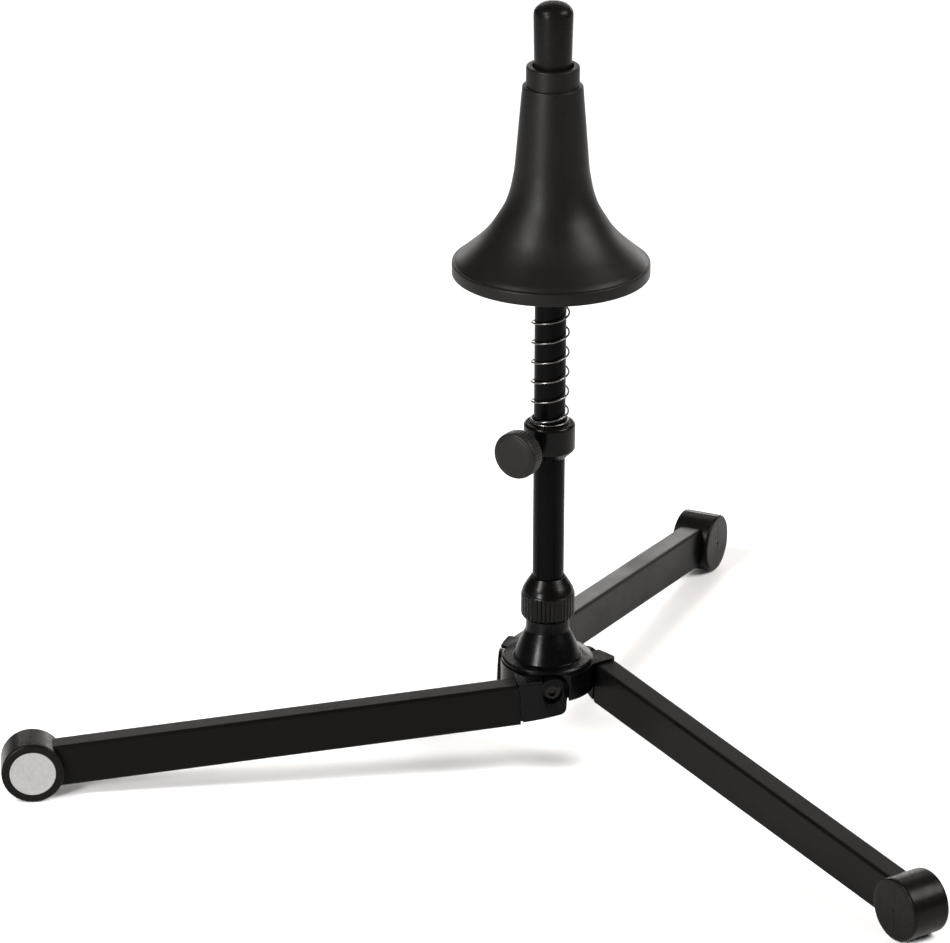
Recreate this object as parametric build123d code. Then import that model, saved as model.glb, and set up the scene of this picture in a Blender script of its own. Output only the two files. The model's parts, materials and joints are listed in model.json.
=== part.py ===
from build123d import *
import os
from math import cos, sin, sqrt, radians

# Trumpet stand: three folding legs on a cast hub, a removable post, and a sprung bell cone.
# Units are millimetres. The origin is on the floor under the post's axis, +Z is up.

# --- driving dimensions ---------------------------------------------------------------
POST_R = 8.0
POST_WALL = 1.5
POST_BOTTOM_Z = 45.0
POST_TOP_Z = 400.5
RUNNING_GAP = 0.05
BODY_GAP = 0.3

LEG_COUNT = 3
FIRST_LEG_ANGLE = 180.0
LEG_SLOPE = 6.02
LEG_INNER_V = 17.6
LEG_WIDTH = 12.4
LEG_TOP_T = 8.65
LEG_HEIGHT = 22.1
LEG_WALL = 1.5
LEG_EDGE_R = 1.6
LEG_START_S = 17.8
FOOT_S = 266.8
TUBE_PAST_FOOT_AXIS = 6.0

# Plan of the curved outer side of a knuckle, and the points its arc passes through.
SIDE_MID = (1.0, 27.6)
SIDE_BACK = (-8.8, 24.2)

KNUCKLE_R = 8.4
KNUCKLE_END_S = 16.7
KNUCKLE_CHEEK_V = 22.2
KNUCKLE_BOTTOM_T = -11.9
KNUCKLE_SHELF_S = 4.6
KNUCKLE_TOP_GAP = 0.3
KNUCKLE_HEEL = ((-6.4, -9.0), (-5.3, -11.1), (-3.2, KNUCKLE_BOTTOM_T))
KNUCKLE_OVERLAP = 2.0
TONGUE_END_S = 42.7
TONGUE_GAP = 0.1
COUNTERBORE_R = 5.1
COUNTERBORE_V = 21.0
SCREW_R = 2.5
SCREW_HEAD_R = 3.8
SCREW_HEAD_H = 2.5
SCREW_HEX_AF = 4.0
SCREW_HEX_DEPTH = 1.9
SCREW_TIP_V = 10.0
WASHER_H = 0.6
WASHER_R = 4.6

FOOT_R = 16.0
FOOT_LENGTH = 21.6
FOOT_EDGE_R = 1.1
FOOT_DISC_R = 11.8
FOOT_DISC_H = 0.6
FOOT_DIMPLE_R = 0.9
FOOT_DIMPLE_DEPTH = 0.35

HUB_BOTTOM_Z = 40.0
HUB_R = 24.0
HUB_RING_R = 23.4
HUB_RING_Z = 57.3
HUB_SHOULDER_Z = 55.3
HUB_CONE_BASE_R = 17.4
HUB_CONE_BASE_Z = 57.7
HUB_CONE_MID = (14.6, 65.0)
HUB_CONE_TOP_Z = 72.5
HUB_NECK_R = 11.1
HUB_THREAD_R = 10.4
HUB_TOP_Z = 91.0
HUB_FLOOR = 4.0
HUB_DRAIN_R = 5.0
TAB_BOTTOM_Z = 53.4
TAB_TOP_Z = 54.7
TAB_START_U = 5.6
TAB_END_U = 18.5
TAB_CORNER_R = 1.4
POCKET_GAP = 0.6

NUT_BOTTOM_Z = 79.0
NUT_SHOULDER_Z = 92.5
NUT_TOP_Z = 101.5
NUT_R = 13.75
NUT_CHAMFER = (1.3, 1.5)
NUT_EDGE = (0.25, 0.3)
NUT_DOME_MID = (12.4, 95.7)
NUT_DOME_END = (10.6, 98.5)
NUT_FACE_R = 8.9
NUT_FLUTES = 36
NUT_FLUTE_R = 0.55
FLUTE_OFFSET = 0.15
THREAD_GAP = 0.2
NUT_BORE_R = 8.25
COLLET_TOP_Z = 98.2
COLLET_TIP_R = 8.7
COLLET_SLIT = 1.6

COLLAR_BOTTOM_Z = 167.0
COLLAR_TOP_Z = 185.7
COLLAR_R = 13.1
COLLAR_CHAMFER = 4.5
COLLAR_ROUND = 2.1
CLAMP_Z = 177.7
CLAMP_ANGLE = 232.3
CLAMP_INSERT_R = 4.2
CLAMP_INSERT_BORE_R = 3.0
CLAMP_INSERT_END_D = 12.3
CLAMP_SCREW_R = 2.95
CLAMP_PAD_END_D = 9.4
KNOB_R = 12.2
KNOB_FACE_D = 35.0
KNOB_THICKNESS = 10.0
KNOB_EDGE_R = 1.0
KNOB_RIM_WIDTH = 2.2
KNOB_RIM_DEPTH = 0.3
KNOB_BORE_END_D = 32.0
KNOB_NECK_R = 5.2
KNOB_NECK_D = 19.0
KNOB_RIBS = 40
KNOB_RIB_R = 0.35

SPRING_WIRE_R = 0.5
SPRING_MEAN_R = 9.4
SPRING_PITCH = 10.5

CONE_BOTTOM_Z = 264.9
CONE_RIM_Z = 271.6
CONE_RIM_R = 49.6
CONE_EDGE_R = 48.6
CONE_LIP = 1.4
FLARE_MIDDLE = ((26.1, 296.0), (36.0, 282.6))
FLARE_TANGENTS = ((0.08, -1.0), (0.88, -0.48))
CONE_TAPER_Z = 321.0
CONE_TAPER_R = 18.6
CONE_SHOULDER_Z = 363.2
CONE_SHOULDER_R = 15.1
CONE_NECK_R = 13.3
CONE_TOP_Z = 373.3
CONE_WALL = 2.2
CONE_MOUTH_R = 10.3
BUSH_R = 11.0
BUSH_TOP_Z = 371.0
BUSH_BOTTOM_Z = 338.0
SPRING_WASHER_H = 1.0

CAP_BOTTOM_Z = 371.3
CAP_BOTTOM_R = 9.3
CAP_TOP_R = 9.9
CAP_TAPER_Z = 399.6
CAP_SHOULDER_MID = (8.95, 402.8)
CAP_DOME_R = 6.4
CAP_DOME_H = 1.5
CAP_TOP_Z = 406.3

LEG_MID_T = LEG_TOP_T - LEG_HEIGHT / 2
LEG_OUTER_V = LEG_INNER_V + LEG_WIDTH
LEG_MID_V = LEG_INNER_V + LEG_WIDTH / 2
PIVOT_Z = FOOT_R + FOOT_S * sin(radians(LEG_SLOPE)) - LEG_MID_T * cos(radians(LEG_SLOPE))
POCKET_V = LEG_INNER_V - BODY_GAP
BORE_R = POST_R + RUNNING_GAP
CUT = 60.0


def ring(r_out, r_in, z0, z1):
    """A plain ring round the post's axis."""
    height = z1 - z0
    return Pos(0, 0, z0 + height / 2) * (Cylinder(r_out, height) - Cylinder(r_in, height + 1))


def turned(points):
    """A solid turned round the post's axis from an outline of (radius, height) points."""
    outline = make_face(Polyline(*points, close=True))
    return revolve(Plane.XZ * outline, Axis.Z)


def leg_place(number):
    """Leg frame: x out along the sloping leg, y sideways, z up from the pivot's axis."""
    turn = FIRST_LEG_ANGLE + 360.0 / LEG_COUNT * (number - 1)
    return Rot(0, 0, turn) * Pos(0, 0, PIVOT_Z) * Rot(0, LEG_SLOPE, 0)


def flat_place(number):
    """Level frame of a leg: x out, y sideways, z up from the floor."""
    turn = FIRST_LEG_ANGLE + 360.0 / LEG_COUNT * (number - 1)
    return Rot(0, 0, turn)


def across(radius, v0, v1):
    """A cylinder across the leg, on the pivot's axis."""
    return Pos(0, (v0 + v1) / 2, 0) * Rot(90, 0, 0) * Cylinder(radius, v1 - v0)


def side_face(end_u):
    """Plan of the space inside the curved outer side shared by the tab and the knuckle."""
    outer = ThreePointArc((end_u, LEG_OUTER_V), SIDE_MID, SIDE_BACK)
    sides = Polyline(SIDE_BACK, (SIDE_BACK[0], 0), (end_u, 0), (end_u, LEG_OUTER_V))
    return make_face(outer + sides)


# --- legs -----------------------------------------------------------------------------
def leg_tube():
    length = FOOT_S + TUBE_PAST_FOOT_AXIS - LEG_START_S
    outer = RectangleRounded(LEG_WIDTH, LEG_HEIGHT, LEG_EDGE_R)
    inner = Rectangle(LEG_WIDTH - 2 * LEG_WALL, LEG_HEIGHT - 2 * LEG_WALL)
    section = Plane((LEG_START_S, LEG_MID_V, LEG_MID_T), x_dir=(0, 1, 0), z_dir=(1, 0, 0))
    return extrude(section * (outer - inner), length)


def shelf_point(s):
    """Point at a distance out along the leg on the level shelf that lies just under the hub's tab."""
    drop = TAB_BOTTOM_Z - KNUCKLE_TOP_GAP - PIVOT_Z + s * sin(radians(LEG_SLOPE))
    return (s, drop / cos(radians(LEG_SLOPE)))


def on_boss(angle):
    """Point on the knuckle's round end, at an angle in degrees from the outward direction."""
    return (KNUCKLE_R * cos(radians(angle)), KNUCKLE_R * sin(radians(angle)))


def cheek_outline():
    """Side outline of the knuckle's outer part: a round top end and a level shelf under the tab."""
    shelf = Line(shelf_point(KNUCKLE_END_S), shelf_point(KNUCKLE_SHELF_S))
    over = ThreePointArc(shelf_point(KNUCKLE_SHELF_S), on_boss(120), on_boss(210))
    back = Line(on_boss(210), KNUCKLE_HEEL[0])
    heel = ThreePointArc(*KNUCKLE_HEEL)
    bottom_corner = (KNUCKLE_END_S, KNUCKLE_BOTTOM_T)
    rest = Polyline(KNUCKLE_HEEL[-1], bottom_corner, shelf_point(KNUCKLE_END_S))
    return make_face(shelf + over + back + heel + rest)


def boss_outline():
    """Side outline of the knuckle's inner part: a round boss and a neck to the tube."""
    neck = Polyline(
        (0, 0), on_boss(-60), (KNUCKLE_END_S, KNUCKLE_BOTTOM_T),
        shelf_point(KNUCKLE_END_S), shelf_point(KNUCKLE_SHELF_S), close=True)
    return Circle(KNUCKLE_R) + make_face(neck)


def outside_of(v):
    """Everything further out sideways than v."""
    return Box(2 * CUT, CUT, 2 * CUT, align=(Align.CENTER, Align.MIN, Align.CENTER)).moved(Pos(0, v, 0))


def knuckle():
    side = Plane((0, 0, 0), x_dir=(1, 0, 0), z_dir=(0, -1, 0))
    cheek = extrude(side * cheek_outline(), -LEG_OUTER_V - KNUCKLE_OVERLAP) & outside_of(KNUCKLE_CHEEK_V)
    boss = extrude(side * boss_outline(), -KNUCKLE_CHEEK_V - BODY_GAP) & outside_of(LEG_INNER_V)
    plan = extrude(Plane.XY.offset(-CUT / 2) * side_face(KNUCKLE_END_S + KNUCKLE_OVERLAP), CUT)
    body = (cheek + boss) & plan
    start = KNUCKLE_END_S - 2 * KNUCKLE_OVERLAP
    width = LEG_WIDTH - 2 * (LEG_WALL + TONGUE_GAP)
    height = LEG_HEIGHT - 2 * (LEG_WALL + TONGUE_GAP)
    middle = Pos((start + TONGUE_END_S) / 2, LEG_MID_V, LEG_MID_T)
    body += middle * Box(TONGUE_END_S - start, width, height)
    body -= across(SCREW_R + RUNNING_GAP, 0, CUT)
    body -= across(COUNTERBORE_R, COUNTERBORE_V, CUT)
    return body


def pivot_screw():
    head_v = COUNTERBORE_V + WASHER_H
    screw = across(SCREW_R, SCREW_TIP_V, head_v) + across(SCREW_HEAD_R, head_v, head_v + SCREW_HEAD_H)
    socket_face = Plane((0, head_v + SCREW_HEAD_H, 0), x_dir=(1, 0, 0), z_dir=(0, 1, 0))
    hexagon = RegularPolygon(SCREW_HEX_AF / 2, 6, major_radius=False)
    return screw - extrude(socket_face * hexagon, -SCREW_HEX_DEPTH)


def pivot_washer():
    top_v = COUNTERBORE_V + WASHER_H
    return across(WASHER_R, COUNTERBORE_V + RUNNING_GAP, top_v) - across(SCREW_R + RUNNING_GAP, 0, CUT)


def across_foot(radius, v0, v1):
    """A cylinder on the foot's own axis."""
    return Pos(FOOT_S, 0, LEG_MID_T) * across(radius, v0, v1)


def foot():
    inner_v = LEG_MID_V - FOOT_LENGTH / 2
    outer_v = LEG_MID_V + FOOT_LENGTH / 2
    body = across_foot(FOOT_R, inner_v, outer_v)
    body = fillet(body.edges().filter_by(GeomType.CIRCLE), FOOT_EDGE_R)
    end = Plane((FOOT_S + TUBE_PAST_FOOT_AXIS, LEG_MID_V, LEG_MID_T), x_dir=(0, 1, 0), z_dir=(1, 0, 0))
    body -= extrude(end * RectangleRounded(LEG_WIDTH, LEG_HEIGHT, LEG_EDGE_R), -CUT)
    body -= across_foot(FOOT_DISC_R, outer_v - FOOT_DISC_H, outer_v + FOOT_DISC_H)
    return body - across_foot(FOOT_DIMPLE_R, inner_v - FOOT_DIMPLE_DEPTH, inner_v + FOOT_DIMPLE_DEPTH)


def foot_disc():
    outer_v = LEG_MID_V + FOOT_LENGTH / 2
    return across_foot(FOOT_DISC_R, outer_v - FOOT_DISC_H, outer_v)


# --- hub ------------------------------------------------------------------------------
def hub_core():
    """Cast body: a drum for the pivots, a rounded rim, a cone and a threaded neck."""
    cone_base = (HUB_CONE_BASE_R, HUB_CONE_BASE_Z)
    cone_side = ThreePointArc((HUB_NECK_R, HUB_CONE_TOP_Z), HUB_CONE_MID, cone_base)
    rim = Polyline(
        cone_base, (HUB_CONE_BASE_R + 0.5, HUB_RING_Z), (HUB_RING_R - 0.8, HUB_RING_Z),
        (HUB_RING_R, HUB_RING_Z - 0.8), (HUB_RING_R, HUB_SHOULDER_Z))
    drum = Polyline(
        (HUB_RING_R, HUB_SHOULDER_Z), (HUB_R - 1.2, HUB_SHOULDER_Z), (HUB_R - 1.2, HUB_SHOULDER_Z - 0.4),
        (HUB_R, HUB_SHOULDER_Z - 0.6), (HUB_R, HUB_BOTTOM_Z + 0.8), (HUB_R - 0.8, HUB_BOTTOM_Z))
    bore = Polyline(
        (HUB_R - 0.8, HUB_BOTTOM_Z), (HUB_DRAIN_R, HUB_BOTTOM_Z), (HUB_DRAIN_R, HUB_BOTTOM_Z + HUB_FLOOR),
        (BORE_R, HUB_BOTTOM_Z + HUB_FLOOR), (BORE_R, HUB_TOP_Z), (HUB_THREAD_R, HUB_TOP_Z))
    neck = Polyline(
        (HUB_THREAD_R, HUB_TOP_Z), (HUB_THREAD_R, NUT_BOTTOM_Z), (HUB_NECK_R, NUT_BOTTOM_Z - 0.6),
        (HUB_NECK_R, HUB_CONE_TOP_Z))
    return revolve(Plane.XZ * make_face(cone_side + rim + drum + bore + neck), Axis.Z)


def hub_tab():
    """Flat arm over a leg's inner end: the leg stands against it when it is open."""
    slab = extrude(Plane.XY.offset(TAB_BOTTOM_Z) * side_face(TAB_END_U), TAB_TOP_Z - TAB_BOTTOM_Z)
    keep = Pos((TAB_START_U + TAB_END_U) / 2, 0, TAB_TOP_Z) * Box(TAB_END_U - TAB_START_U, 80, 10)
    tab = slab & keep
    corner = tab.edges().filter_by(Axis.Z).sort_by(lambda edge: edge.center().X + edge.center().Y)[-1]
    return fillet(corner, TAB_CORNER_R)


def hub_pocket():
    """Room for a leg's knuckle to turn: open outwards and below, with a wall at its inner end."""
    reach = KNUCKLE_R + POCKET_GAP
    half = reach * cos(radians(45))
    roof = ThreePointArc((-reach, PIVOT_Z), (-half, PIVOT_Z + half), (0, PIVOT_Z + reach))
    rest = Polyline(
        (0, PIVOT_Z + reach), (TAB_START_U, PIVOT_Z + reach), (TAB_START_U, TAB_BOTTOM_Z),
        (CUT, TAB_BOTTOM_Z), (CUT, -CUT), (-reach, -CUT), (-reach, PIVOT_Z))
    side = Plane((0, POCKET_V, 0), x_dir=(1, 0, 0), z_dir=(0, -1, 0))
    pocket = extrude(side * make_face(roof + rest), -CUT)
    cheek_room = Box(CUT / 2, CUT, CUT, align=(Align.MAX, Align.MIN, Align.MAX))
    return pocket + Pos(0, KNUCKLE_CHEEK_V - BODY_GAP, PIVOT_Z + reach) * cheek_room


def hub():
    body = hub_core()
    for number in range(1, LEG_COUNT + 1):
        body += flat_place(number) * hub_tab()
    body -= Pos(0, 0, POST_BOTTOM_Z) * Cylinder(BORE_R, CUT, align=(Align.CENTER, Align.CENTER, Align.MIN))
    for number in range(1, LEG_COUNT + 1):
        body -= flat_place(number) * hub_pocket()
        body -= leg_place(number) * across(SCREW_R, SCREW_TIP_V - BODY_GAP, CUT)
    return body


# --- nut and collet -------------------------------------------------------------------
def lock_nut():
    thread_r = HUB_THREAD_R + THREAD_GAP
    edge = (NUT_R - NUT_EDGE[0], NUT_SHOULDER_Z + NUT_EDGE[1])
    grip = Polyline(
        (thread_r, NUT_BOTTOM_Z), (NUT_R - NUT_CHAMFER[0], NUT_BOTTOM_Z),
        (NUT_R, NUT_BOTTOM_Z + NUT_CHAMFER[1]), (NUT_R, NUT_SHOULDER_Z - NUT_EDGE[1]), edge)
    dome = ThreePointArc(edge, NUT_DOME_MID, NUT_DOME_END)
    rest = Polyline(
        NUT_DOME_END, (NUT_FACE_R, NUT_TOP_Z - 0.3), (NUT_FACE_R - 0.4, NUT_TOP_Z), (NUT_BORE_R, NUT_TOP_Z),
        (NUT_BORE_R, COLLET_TOP_Z + BODY_GAP), (COLLET_TIP_R + THREAD_GAP, COLLET_TOP_Z + BODY_GAP),
        (thread_r, NUT_SHOULDER_Z + 0.5), (thread_r, NUT_BOTTOM_Z))
    nut = revolve(Plane.XZ * make_face(grip + dome + rest), Axis.Z)
    flute_h = NUT_SHOULDER_Z - NUT_BOTTOM_Z + 0.4
    flute_z = (NUT_SHOULDER_Z + NUT_BOTTOM_Z) / 2 - 0.3
    for index in range(NUT_FLUTES):
        flute = Pos(NUT_R + FLUTE_OFFSET, 0, flute_z) * Cylinder(NUT_FLUTE_R, flute_h)
        nut -= Rot(0, 0, 360.0 / NUT_FLUTES * index) * flute
    return nut


def collet():
    """Split ring squeezed onto the post by the nut's inner cone."""
    bottom = HUB_TOP_Z + RUNNING_GAP
    body = turned([
        (BORE_R, bottom), (HUB_THREAD_R, bottom), (HUB_THREAD_R, NUT_SHOULDER_Z + 0.3),
        (COLLET_TIP_R, COLLET_TOP_Z), (BORE_R, COLLET_TOP_Z),
    ])
    return body - Pos(HUB_THREAD_R, 0, COLLET_TOP_Z) * Box(HUB_THREAD_R, COLLET_SLIT, CUT)


# --- post -----------------------------------------------------------------------------
def post_tube():
    return ring(POST_R, POST_R - POST_WALL, POST_BOTTOM_Z, POST_TOP_Z)


def post_cap():
    """Slip-on cap: it widens upwards and ends in a shallow dome."""
    dome_z = CAP_TOP_Z - CAP_DOME_H
    sphere_r = (CAP_DOME_R ** 2 + CAP_DOME_H ** 2) / (2 * CAP_DOME_H)
    half_z = CAP_TOP_Z - sphere_r + sqrt(sphere_r ** 2 - (CAP_DOME_R / 2) ** 2)
    outside = Polyline(
        (0, CAP_TOP_Z), (0, POST_TOP_Z), (POST_R, POST_TOP_Z), (POST_R, CAP_BOTTOM_Z),
        (CAP_BOTTOM_R, CAP_BOTTOM_Z), (CAP_TOP_R, CAP_TAPER_Z))
    shoulder = ThreePointArc((CAP_TOP_R, CAP_TAPER_Z), CAP_SHOULDER_MID, (CAP_DOME_R, dome_z))
    dome = ThreePointArc((CAP_DOME_R, dome_z), (CAP_DOME_R / 2, half_z), (0, CAP_TOP_Z))
    return revolve(Plane.XZ * make_face(outside + shoulder + dome), Axis.Z)


# --- bell cone and spring -------------------------------------------------------------
def flare(offset, z_bottom, r_bottom):
    """Trumpet-bell curve of the cone, moved inwards by the offset."""
    middle = [(r - offset, z) for r, z in FLARE_MIDDLE]
    return Spline(
        (CONE_TAPER_R - offset, CONE_TAPER_Z), *middle, (r_bottom, z_bottom),
        tangents=FLARE_TANGENTS, tangent_scalars=(1.0, 1.0))


def cone_rim(inner_end):
    """Outline of the rim, from the flare's outer end round to its inner end."""
    top = ThreePointArc(
        (CONE_EDGE_R, CONE_RIM_Z), (CONE_RIM_R - 0.3, CONE_RIM_Z - 0.4), (CONE_RIM_R, CONE_RIM_Z - 1.2))
    side = Line((CONE_RIM_R, CONE_RIM_Z - 1.2), (CONE_RIM_R, CONE_BOTTOM_Z + 1.0))
    edge = RadiusArc((CONE_RIM_R, CONE_BOTTOM_Z + 1.0), (CONE_EDGE_R, CONE_BOTTOM_Z), 1.0)
    foot_line = Polyline((CONE_EDGE_R, CONE_BOTTOM_Z), (CONE_EDGE_R - CONE_LIP, CONE_BOTTOM_Z), inner_end)
    return top + side + edge + foot_line


def cone_neck():
    """Outline of the upper part, from the inner flare over the mouth to the outer flare."""
    inner = Polyline(
        (CONE_TAPER_R - CONE_WALL, CONE_TAPER_Z), (CONE_SHOULDER_R - CONE_WALL + 0.2, CONE_SHOULDER_Z - 8),
        (BUSH_R, CONE_SHOULDER_Z - 10), (BUSH_R, BUSH_TOP_Z), (CONE_MOUTH_R, BUSH_TOP_Z),
        (CONE_MOUTH_R, CONE_TOP_Z))
    neck = Polyline(
        (CONE_MOUTH_R, CONE_TOP_Z), (CONE_NECK_R - 0.8, CONE_TOP_Z), (CONE_NECK_R, CONE_TOP_Z - 0.8),
        (CONE_NECK_R, CONE_SHOULDER_Z + 0.3), (CONE_SHOULDER_R - 0.5, CONE_SHOULDER_Z),
        (CONE_SHOULDER_R, CONE_SHOULDER_Z - 0.5), (CONE_TAPER_R, CONE_TAPER_Z))
    return inner + neck


def bell_cone():
    inner_end = (CONE_EDGE_R - CONE_LIP - 1.2, CONE_RIM_Z - CONE_WALL)
    outer_flare = flare(0, CONE_RIM_Z, CONE_EDGE_R)
    inner_flare = flare(CONE_WALL, inner_end[1], inner_end[0])
    outline = outer_flare + cone_rim(inner_end) + inner_flare + cone_neck()
    return revolve(Plane.XZ * make_face(outline), Axis.Z)


def cone_bush():
    return ring(BUSH_R, BORE_R, BUSH_BOTTOM_Z, BUSH_TOP_Z)


def spring_washer():
    return ring(BUSH_R, BORE_R, BUSH_BOTTOM_Z - SPRING_WASHER_H, BUSH_BOTTOM_Z)


def spring():
    bottom = COLLAR_TOP_Z + SPRING_WIRE_R
    top = BUSH_BOTTOM_Z - SPRING_WASHER_H - SPRING_WIRE_R
    path = Helix(SPRING_PITCH, top - bottom, SPRING_MEAN_R, center=(0, 0, bottom))
    start = Plane(path @ 0, z_dir=path % 0)
    return sweep(start * Circle(SPRING_WIRE_R), path, is_frenet=True)


# --- stop collar and clamp ------------------------------------------------------------
def clamp_place():
    """Clamp frame: x out from the post's axis towards the knob."""
    return Rot(0, 0, CLAMP_ANGLE) * Pos(0, 0, CLAMP_Z)


def along(radius, d0, d1):
    """A cylinder along the clamp screw, between two distances from the post's axis."""
    return Pos((d0 + d1) / 2, 0, 0) * Rot(0, 90, 0) * Cylinder(radius, d1 - d0)


def stop_collar():
    round_mid = COLLAR_ROUND * (1 - cos(radians(45)))
    side = Polyline(
        (COLLAR_R - COLLAR_ROUND, COLLAR_TOP_Z), (BORE_R, COLLAR_TOP_Z), (BORE_R, COLLAR_BOTTOM_Z),
        (COLLAR_R - COLLAR_CHAMFER, COLLAR_BOTTOM_Z), (COLLAR_R, COLLAR_BOTTOM_Z + COLLAR_CHAMFER),
        (COLLAR_R, COLLAR_TOP_Z - COLLAR_ROUND))
    edge = ThreePointArc(
        (COLLAR_R, COLLAR_TOP_Z - COLLAR_ROUND), (COLLAR_R - round_mid, COLLAR_TOP_Z - round_mid),
        (COLLAR_R - COLLAR_ROUND, COLLAR_TOP_Z))
    body = revolve(Plane.XZ * make_face(side + edge), Axis.Z)
    return body - clamp_place() * along(CLAMP_INSERT_R, 0, CUT)


def collar_insert():
    """Threaded steel insert pressed into the collar."""
    insert = along(CLAMP_INSERT_R, 0, CLAMP_INSERT_END_D) - along(CLAMP_INSERT_BORE_R, 0, CUT)
    post_room = Pos(0, 0, CLAMP_Z) * Cylinder(BORE_R + RUNNING_GAP, CUT)
    return clamp_place() * insert - post_room


def clamp_screw():
    return clamp_place() * along(CLAMP_SCREW_R, CLAMP_PAD_END_D, KNOB_BORE_END_D)


def clamp_pad():
    """Soft tip that presses on the post and spares its paint."""
    return clamp_place() * along(CLAMP_SCREW_R, POST_R + RUNNING_GAP, CLAMP_PAD_END_D)


def clamp_knob():
    """Round knob with a faintly ribbed side, a sunk face and a neck towards the collar."""
    back = KNOB_FACE_D - KNOB_THICKNESS
    knob = along(KNOB_R, back, KNOB_FACE_D)
    knob = fillet(knob.edges().filter_by(GeomType.CIRCLE), KNOB_EDGE_R)
    knob -= along(KNOB_R - KNOB_RIM_WIDTH, KNOB_FACE_D - KNOB_RIM_DEPTH, KNOB_FACE_D + KNOB_RIM_DEPTH)
    groove = along(KNOB_RIB_R, back + KNOB_EDGE_R, KNOB_FACE_D - KNOB_EDGE_R)
    groove = Pos(0, 0, KNOB_R + FLUTE_OFFSET) * groove
    for index in range(KNOB_RIBS):
        knob -= Rot(360.0 / KNOB_RIBS * index, 0, 0) * groove
    knob += along(KNOB_NECK_R, KNOB_NECK_D, back + KNOB_EDGE_R)
    knob -= along(CLAMP_SCREW_R, 0, KNOB_BORE_END_D)
    return clamp_place() * knob


# --- write one file per piece ---------------------------------------------------------
def main():
    os.makedirs("parts", exist_ok=True)
    pieces = {
        "hub": hub(),
        "lock_nut": lock_nut(),
        "collet": collet(),
        "post_tube": post_tube(),
        "post_cap": post_cap(),
        "bell_cone": bell_cone(),
        "cone_bush": cone_bush(),
        "spring_washer": spring_washer(),
        "cone_spring": spring(),
        "stop_collar": stop_collar(),
        "collar_insert": collar_insert(),
        "clamp_knob": clamp_knob(),
        "clamp_screw": clamp_screw(),
        "clamp_pad": clamp_pad(),
    }
    leg_pieces = {
        "leg_tube": leg_tube(),
        "knuckle": knuckle(),
        "pivot_screw": pivot_screw(),
        "pivot_washer": pivot_washer(),
        "foot": foot(),
        "foot_disc": foot_disc(),
    }
    for number in range(1, LEG_COUNT + 1):
        for name, piece in leg_pieces.items():
            pieces[f"{name}_{number}"] = leg_place(number) * piece
    for name, piece in pieces.items():
        export_step(piece, f"parts/{name}.step")


main()
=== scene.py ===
import json
import bpy
import bmesh
from math import cos, sin, pi, radians
from mathutils import Matrix, Vector


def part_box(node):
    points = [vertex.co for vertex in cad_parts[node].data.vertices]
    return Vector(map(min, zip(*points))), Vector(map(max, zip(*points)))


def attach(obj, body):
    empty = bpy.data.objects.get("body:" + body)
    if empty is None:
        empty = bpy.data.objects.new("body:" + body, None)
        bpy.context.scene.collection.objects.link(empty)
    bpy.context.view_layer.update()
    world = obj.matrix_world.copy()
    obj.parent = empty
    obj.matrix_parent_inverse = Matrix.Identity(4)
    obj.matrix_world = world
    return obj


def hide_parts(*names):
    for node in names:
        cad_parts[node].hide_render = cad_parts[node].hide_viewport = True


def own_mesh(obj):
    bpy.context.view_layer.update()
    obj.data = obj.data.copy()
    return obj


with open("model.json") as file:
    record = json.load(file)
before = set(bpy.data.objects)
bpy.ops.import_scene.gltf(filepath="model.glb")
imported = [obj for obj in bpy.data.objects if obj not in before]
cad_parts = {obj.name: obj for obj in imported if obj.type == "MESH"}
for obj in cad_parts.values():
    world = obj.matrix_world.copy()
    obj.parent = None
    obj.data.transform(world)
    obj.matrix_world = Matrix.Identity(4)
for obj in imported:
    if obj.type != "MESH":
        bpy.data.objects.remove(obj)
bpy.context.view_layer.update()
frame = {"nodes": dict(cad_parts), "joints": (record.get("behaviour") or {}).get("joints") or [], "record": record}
NODES = frame["nodes"]
JOINTS = {joint["name"]: joint for joint in frame["joints"]}
NODE_SLOT = {part["node"]: part["material_slot"] for part in frame["record"]["subparts"]}
BODY_OF = {node: body for body, nodes in frame["record"]["behaviour"]["bodies"].items() for node in nodes}

# --- sizes, in millimetres ------------------------------------------------------------
MM = 0.001

# A leg's sizes are in its own frame: along the sloping leg, sideways, and up, square to both.
LEGS = (1, 2, 3)
LEG_SLOPE = radians(6.02)
LEG_ALONG = (17.8, 272.8)
LEG_SIDE = (17.6, 30.0)
LEG_UP = (-13.45, 8.65)
LEG_EDGE_R = 1.6
LEG_WALL = 1.5
FOOT_ALONG = 266.8
FOOT_SIDE = (13.0, 34.6)
FOOT_UP = -2.4
FOOT_R = 16.0
DISC_R = 11.7
DISC_SEAT = 0.6

POST_R = 8.0
POST_BORE_R = 6.5
SLIDING_BORE_R = 8.05

# How finely round pieces are divided, and the angle from which an edge is shaded as a hard one.
ROUND_STEPS = 144
SHARP = radians(32)
ON_AXIS = 1e-6


# --- places read from the frame -------------------------------------------------------
def low(node):
    return Vector(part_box(node)[0])


def high(node):
    return Vector(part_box(node)[1])


def heights(node):
    """Bottom and top of a node, in millimetres."""
    return low(node).z / MM, high(node).z / MM


def reach(node):
    """Radius of a node that is round about the post's axis, in millimetres."""
    return high(node).x / MM


def joint_point(name):
    return Vector(JOINTS[name]["pos_m"])


def joint_axis(name):
    return Vector(JOINTS[name]["axis"]).normalized()


def axis_frame(origin, along_axis, up=Vector((0, 0, 1))):
    """Matrix whose +Z runs along an axis, so that a turned piece can be set on it."""
    z = along_axis.normalized()
    x = up - z * up.dot(z)
    x.normalize()
    y = z.cross(x)
    return Matrix.Translation(origin) @ Matrix((x, y, z)).transposed().to_4x4()


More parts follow.
